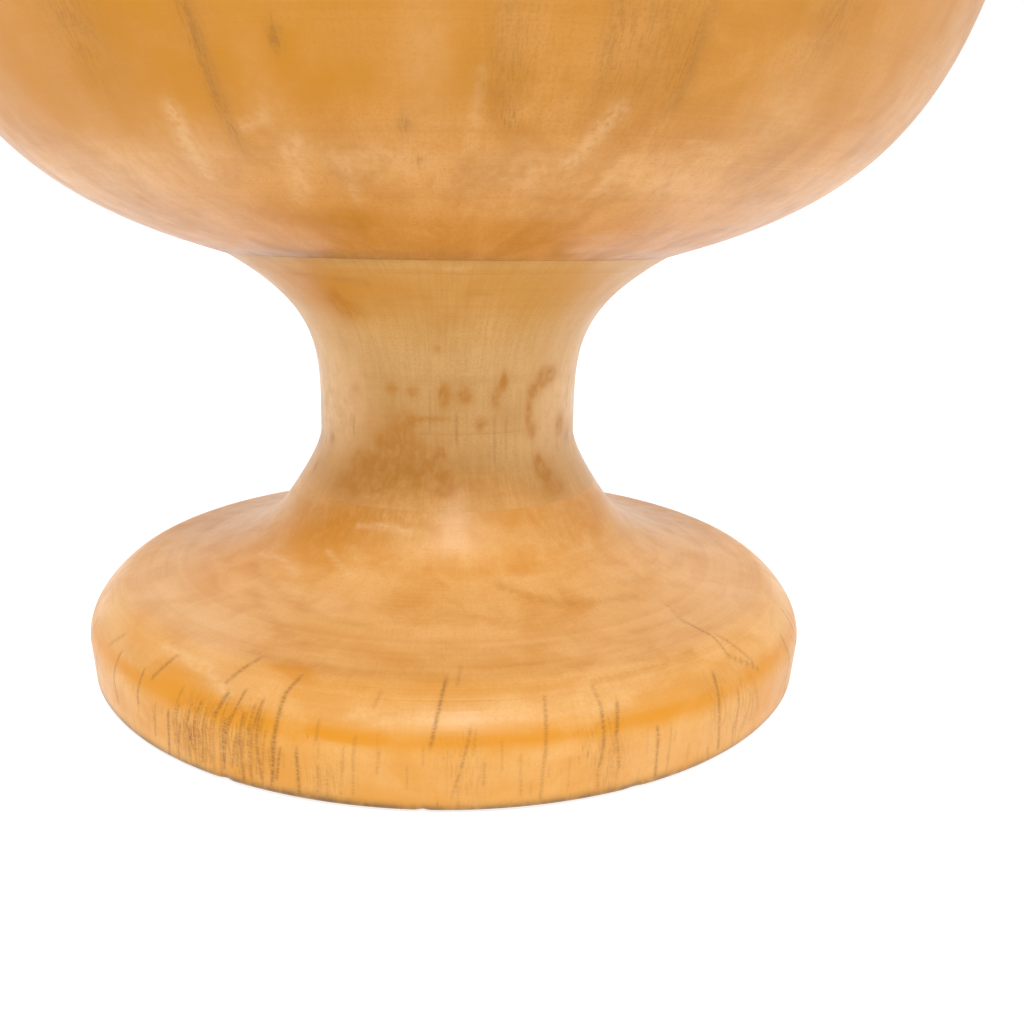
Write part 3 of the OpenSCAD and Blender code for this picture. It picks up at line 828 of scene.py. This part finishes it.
paint(bowl, "scuff_and_highlight", skin.strokes([
    (-25.8, 24.0, -27.6, 17.4, 0.8, 0.5), (12.3, 18.8, 15.0, 24.1, 0.8, 0.5),
    (-14.4, 21.0, -18.3, 13.8, 0.8, 0.35), (-19.2, 22.3, -16.8, 23.1, 0.5, 0.4),
    (-16.2, 20.0, -16.4, 15.0, 0.5, 0.4), (24.0, 21.5, 29.0, 20.6, 0.4, 0.3),
    (-10.5, 19.0, -11.0, 13.5, 0.5, 0.3), (2.0, 20.0, 2.6, 26.5, 0.5, 0.25),
    (8.5, 18.0, 9.5, 14.5, 0.5, 0.25), (18.0, 19.5, 17.0, 15.0, 0.5, 0.3),
    (-36, 19.9, -24, 19.4, 0.4, 0.14), (-12, 19.2, -7, 19.5, 0.4, 0.1),
    (8, 19.2, 14, 19.6, 0.4, 0.12), (22, 20.2, 31, 19.9, 0.4, 0.14)]))
# Painted shade in the crease at the neck, heavier on the left, then grey-brown streaks and patches of
# the wood
ripple = np.exp(-((skin.azimuth + 25) / 38) ** 2)
paint(bowl, "grime_and_shade", (0.08 + 0.5 * ripple) * np.exp(-(skin.way / 3.0) ** 2) * skin.outside
      + skin.strokes([
          (-19.8, 60, -20.0, 30, 1.0, 0.14), (-20.0, 30, -20.3, 24, 0.7, 0.2),
          (-20.3, 24, -21, 20, 0.5, 0.12), (12, 48, 12.6, 24, 0.6, 0.1),
          (20.6, 50, 20.4, 24, 0.6, 0.14), (3.8, 40, 4.4, 23, 0.7, 0.1)])
      + skin.patches([
          (5.0, 27.0, 2.6, 5.0, 0.12), (16.0, 30.0, 3.6, 8.0, 0.13), (10.5, 36, 1.8, 7, 0.08),
          (-13.5, 29.0, 0.5, 0.8, 0.25), (-3.9, 22.4, 0.5, 1.0, 0.2), (32, 33, 3, 6, 0.12),
          (-30, 36, 4, 9, 0.14), (-8, 46, 3, 9, 0.1), (100, 40, 5, 14, 0.14),
          (190, 45, 6, 15, 0.16), (-110, 40, 4, 12, 0.14), (150, 60, 4, 16, 0.12),
          (-150, 30, 5, 9, 0.12)]))

dress(foot, wood("foot_wood_look", FOOT_COLOURS, FOOT_R, lean=-1, drawn=1.7,
                 pores=0.8, rings=0.3, fibres=0.15), "foot")
dress(stem, wood("stem_wood_look", STEM_COLOURS, WAIST[0], lean=0, drawn=0.6,
                 pores=0.5, rings=0.5, fibres=0.3, tint=STEM_HEM), "stem")
dress(bowl, wood("bowl_wood_look", BOWL_COLOURS, BELLY[0], lean=1, drawn=0.8,
                 pores=0.4, rings=0.25, fibres=0.15), "bowl")

# ---------------------------------------------------------------- liner cup and leather pad
bead_angle = np.radians(np.arange(200, -141, -12))
bead = np.stack([LINER_RIM_R + BEAD_R + BEAD_R * np.cos(bead_angle),
                 BEAD_Z + BEAD_R * np.sin(bead_angle)], axis=1)
liner_bottom = LINER_FLOOR_Z - LINER_T
liner = turned("liner_spun", join(
    [0, LINER_FLOOR_Z],
    finer(np.array([[0.5, LINER_FLOOR_Z], [LINER_FLAT_R, LINER_FLOOR_Z]]), 1.0),
    cup_side(0.0, BEAD_Z, 40)[::-1][:-3],
    bead,
    cup_side(LINER_T, BEAD_Z - 1.4, 30),
    finer(np.array([[LINER_FLAT_R, liner_bottom], [0.5, liner_bottom]]), 2.0),
    [0, liner_bottom])[::-1], LINER_SEGMENTS)
dress(liner, metal("gilt_look", (0.93, 0.70, 0.30, 1), (0.72, 0.46, 0.17, 1),
                   0.14, 0.30, 1.6), "liner_cup")

pad = turned("base_pad_leather", join(
    [0, 0],
    finer(np.array([[0.5, 0], [PAD_R - 3.2, 0]]), 1.2),
    [PAD_R - 3.0, 0.12], [PAD_R - 2.7, 0.22], [PAD_R - 2.4, 0.12], [PAD_R - 2.2, 0],
    [PAD_R - 0.5, 0], [PAD_R - 0.15, 0.15], [PAD_R, 0.45], [PAD_R, PAD_T - 0.3],
    [PAD_R - 0.3, PAD_T],
    finer(np.array([[PAD_R - 0.6, PAD_T], [0.5, PAD_T]]), 3.0),
    [0, PAD_T]), PAD_SEGMENTS)
dress(pad, leather("leather_look"), "base_pad")


# ---------------------------------------------------------------- hidden brass fastenings
def thread(angle, height):
    """How deep a right-hand thread is cut at each angle and height, from 0 to 1."""
    phase = (height / THREAD_PITCH - angle / FULL_TURN) % 1
    return np.clip(1.25 - np.abs(phase - 0.5) * 4, 0, 1)


def threaded_rows(low, high, step):
    return np.arange(low, high + step / 2, step)


def capped_faces(rows):
    """Faces of a piece of ROD_SEGMENTS sides, closed by a flat cap at each end."""
    faces = ring_faces(rows, ROD_SEGMENTS, False)
    faces.append(tuple(range(ROD_SEGMENTS - 1, -1, -1)))
    faces.append(tuple((rows - 1) * ROD_SEGMENTS + i for i in range(ROD_SEGMENTS)))
    return faces


brass = metal("brass_look", (0.80, 0.60, 0.27, 1), (0.52, 0.34, 0.13, 1), 0.22, 0.40, 3.0)
rod_top_z = BOSS_TOP_Z - 2
rod_rows = np.concatenate([
    threaded_rows(ROD_LOW_Z, 18.0, THREAD_STEP), [18.6, 24, 30, 36, 42, 48.4],
    threaded_rows(49.0, rod_top_z, THREAD_STEP)])
rod_angle = np.arange(ROD_SEGMENTS) * FULL_TURN / ROD_SEGMENTS
depth = THREAD_DEPTH * (1 - thread(rod_angle[None, :], rod_rows[:, None]))
plain = ((rod_rows > PLAIN_LOW_Z) & (rod_rows < PLAIN_TOP_Z))[:, None]
depth = np.where(plain, 0.0, depth)
end_gap = np.minimum(rod_rows - ROD_LOW_Z, rod_rows[-1] - rod_rows)[:, None]
chamfer = np.clip(ROD_CHAMFER - end_gap, 0, ROD_CHAMFER)
rod_radius = ROD_R - np.maximum(depth, chamfer)
rod_points = round_grid(rod_radius, rod_rows[:, None], rod_angle)
tie_rod = make_piece("tie_rod_threaded", rod_points, capped_faces(len(rod_rows)))
dress(tie_rod, brass, "tie_rod")


def threaded_bore(angle, rows):
    """Radii of a threaded bore that fits the rod, one row per height."""
    cut = THREAD_DEPTH * (1 - thread(angle[None, :], rows[:, None]))
    return np.maximum(ROD_R - cut + THREAD_GAP, ROD_R - 0.5)


def hexagon(angle, flats):
    """The radius of a hexagon of that width across its flats."""
    sixth = FULL_TURN / 6
    return flats / 2 / np.cos((angle % sixth) - sixth / 2)


# Rows of the nut's outside, and the cone that rounds off its corners
nut_angle = np.arange(NUT_SEGMENTS) * FULL_TURN / NUT_SEGMENTS
nut_rows = np.array([0, 0.0, 0.35, 0.75, 2.5, 4.25, 4.65, 5.0, 5.0])
cone = np.array([3.6, 4.85, 5.45, 6.1, 6.1, 6.1, 5.45, 4.85, 3.6])
nut_outside = np.minimum(hexagon(nut_angle, NUT_FLATS)[None, :], cone[:, None])
nut_bore_rows = threaded_rows(NUT_Z + 0.25, WASHER_Z - 0.25, THREAD_STEP)[::-1]
nut_radius = np.vstack([nut_outside, threaded_bore(nut_angle, nut_bore_rows)])
nut_height = np.concatenate([NUT_Z + nut_rows, nut_bore_rows])[:, None]
nut = make_piece("nut_hex", round_grid(nut_radius, nut_height, nut_angle),
                 ring_faces(len(nut_radius), NUT_SEGMENTS, True))
dress(nut, brass, "nut")

washer = turned("washer_flat", np.array([
    [WASHER_HOLE_R + 0.2, WASHER_Z], [WASHER_R - 0.25, WASHER_Z], [WASHER_R, WASHER_Z + 0.25],
    [WASHER_R, RECESS_Z - 0.2], [WASHER_R - 0.2, RECESS_Z], [WASHER_HOLE_R + 0.15, RECESS_Z],
    [WASHER_HOLE_R, RECESS_Z - 0.15], [WASHER_HOLE_R, WASHER_Z + 0.2]]), WASHER_SEGMENTS)
dress(washer, brass, "washer")

boss_rows = threaded_rows(BOSS_Z + 0.3, BOSS_TOP_Z - 1.0, THREAD_STEP)[::-1]
boss_skin = np.array([[BOSS_R - 0.4, BOSS_Z], [BOSS_R, BOSS_Z + 0.4],
                      [BOSS_R, BOSS_TOP_Z - 0.3], [BOSS_R - 0.1, BOSS_TOP_Z]])
boss_radius = np.vstack([threaded_bore(rod_angle, boss_rows),
                         np.full((1, ROD_SEGMENTS), ROD_R + 0.3),
                         np.repeat(boss_skin[:, :1], ROD_SEGMENTS, axis=1)])
boss_height = np.concatenate([boss_rows, [BOSS_Z], boss_skin[:, 1]])[:, None]
boss_points = round_grid(boss_radius, boss_height, rod_angle)
boss = make_piece("cup_boss_threaded", boss_points, capped_faces(len(boss_radius)))
dress(boss, brass, "cup_boss")

# ---------------------------------------------------------------- floor, light and camera
floor_mesh = bpy.data.meshes.new("floor")
floor_size = 4.0
floor_mesh.from_pydata([(-floor_size, -floor_size, 0), (floor_size, -floor_size, 0),
                        (floor_size, floor_size, 0), (-floor_size, floor_size, 0)],
                       [], [(0, 1, 2, 3)])
floor = bpy.data.objects.new("floor", floor_mesh)
bpy.context.scene.collection.objects.link(floor)
floor_look = Nodes("floor_look")
floor_look.shader.inputs["Base Color"].default_value = (0.45, 0.46, 0.47, 1)
floor_look.shader.inputs["Roughness"].default_value = 0.9
floor_look.shader.inputs["Specular IOR Level"].default_value = 0.0
floor_look.shader.inputs["Emission Color"].default_value = (0.98, 0.99, 1.0, 1)
floor_look.shader.inputs["Emission Strength"].default_value = 0.75
floor_mesh.materials.append(floor_look.material)

world = bpy.data.worlds.new("white_studio")
world.use_nodes = True
world.node_tree.nodes["Background"].inputs["Color"].default_value = (1.0, 1.0, 1.0, 1)
world.node_tree.nodes["Background"].inputs["Strength"].default_value = 1.0
bpy.context.scene.world = world
bpy.context.scene.view_settings.view_transform = "Standard"


def softbox(name, azimuth, elevation, distance, width, height, power):
    """An area light that faces the chalice from a direction."""
    data = bpy.data.lights.new(name, "AREA")
    data.shape = "RECTANGLE"
    data.size = width
    data.size_y = height
    data.energy = power
    light = bpy.data.objects.new(name, data)
    bpy.context.scene.collection.objects.link(light)
    turn = Matrix.Rotation(math.radians(azimuth), 4, "Z")
    tilt = Matrix.Rotation(math.radians(90 - elevation), 4, "X")
    centre = Matrix.Translation((0, 0, 0.04))
    light.matrix_world = centre @ turn @ tilt @ Matrix.Translation((0, 0, distance))


softbox("key", azimuth=6, elevation=50, distance=1.0, width=0.24, height=0.18, power=3.2)

camera_data = bpy.data.cameras.new("camera")
camera_data.lens = 35.31
camera_data.sensor_width = 36
camera_data.shift_x = 0.0434
camera_data.shift_y = -0.0138
camera_data.clip_start = 0.01
camera = bpy.data.objects.new("camera", camera_data)
bpy.context.scene.collection.objects.link(camera)
CAMERA_PLACE = (0, -0.1189, 0.04903)
CAMERA_PITCH = 0.26
CAMERA_YAW = 0.021
CAMERA_ROLL = 0.0105
camera.matrix_world = (Matrix.Translation(CAMERA_PLACE)
                       @ Matrix.Rotation(-CAMERA_YAW, 4, "Z")
                       @ Matrix.Rotation(math.pi / 2 - CAMERA_PITCH, 4, "X")
                       @ Matrix.Rotation(CAMERA_ROLL, 4, "Z"))
bpy.context.scene.camera = camera
